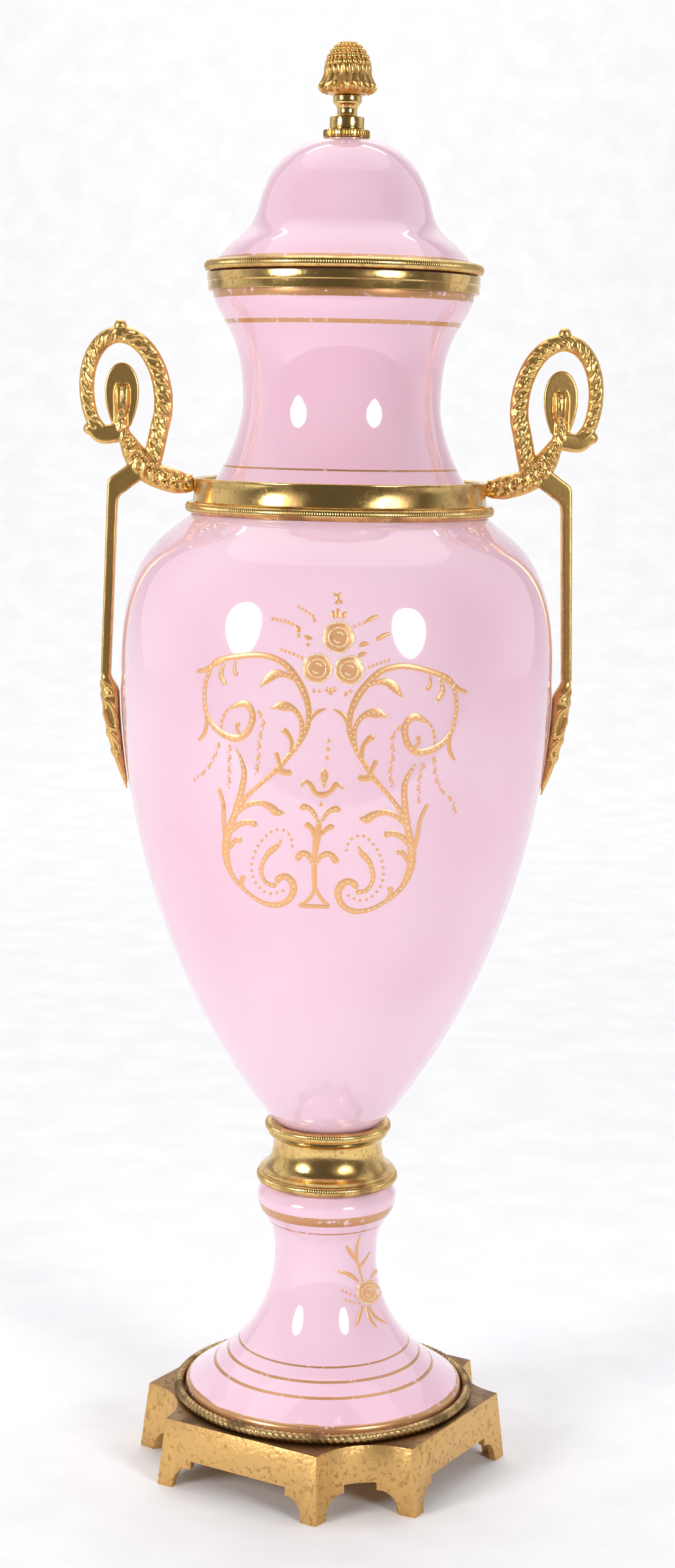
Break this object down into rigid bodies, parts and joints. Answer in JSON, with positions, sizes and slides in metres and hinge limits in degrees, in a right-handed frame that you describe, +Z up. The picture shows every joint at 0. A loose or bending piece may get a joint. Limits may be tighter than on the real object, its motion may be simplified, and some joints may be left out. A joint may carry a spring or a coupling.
{
  "type": "amphora vase",
  "caption": "Lidded porcelain amphora vase on a trumpet foot, with brass collars, scroll handles, a cone finial and a footed square plinth.",
  "frame": {"origin": "centre of the plinth's footprint, on the surface it stands on", "axes": "+Z up along the vase's axis; the handles stand along X; the front faces -Y"},
  "size_m": [0.1808, 0.1508, 0.5002],
  "materials": {
    "pink_glaze": "glossy pale pink glaze with hand-painted satin gilding",
    "polished_brass": "polished yellow brass with brown spots and milled beads",
    "satin_brass": "satin cast brass with fine speckle and a dark top",
    "aged_brass": "aged brass rope moulding, brown in the grooves",
    "cast_gilt": "gilt casting, bright on the relief and brown in the recesses"
  },
  "bodies": {
    "root": {"plinth": "satin_brass", "foot_rope_ring": "aged_brass", "foot": "pink_glaze", "waist_collar": "polished_brass", "vase_body": "pink_glaze", "shoulder_collar": "polished_brass", "rim_band": "polished_brass", "lid": "pink_glaze", "lid_band": "polished_brass", "finial_washer": "polished_brass", "finial_stem": "polished_brass", "finial_cone": "cast_gilt", "handle_right": "cast_gilt", "handle_left": "cast_gilt"}
  },
  "joints": []
}
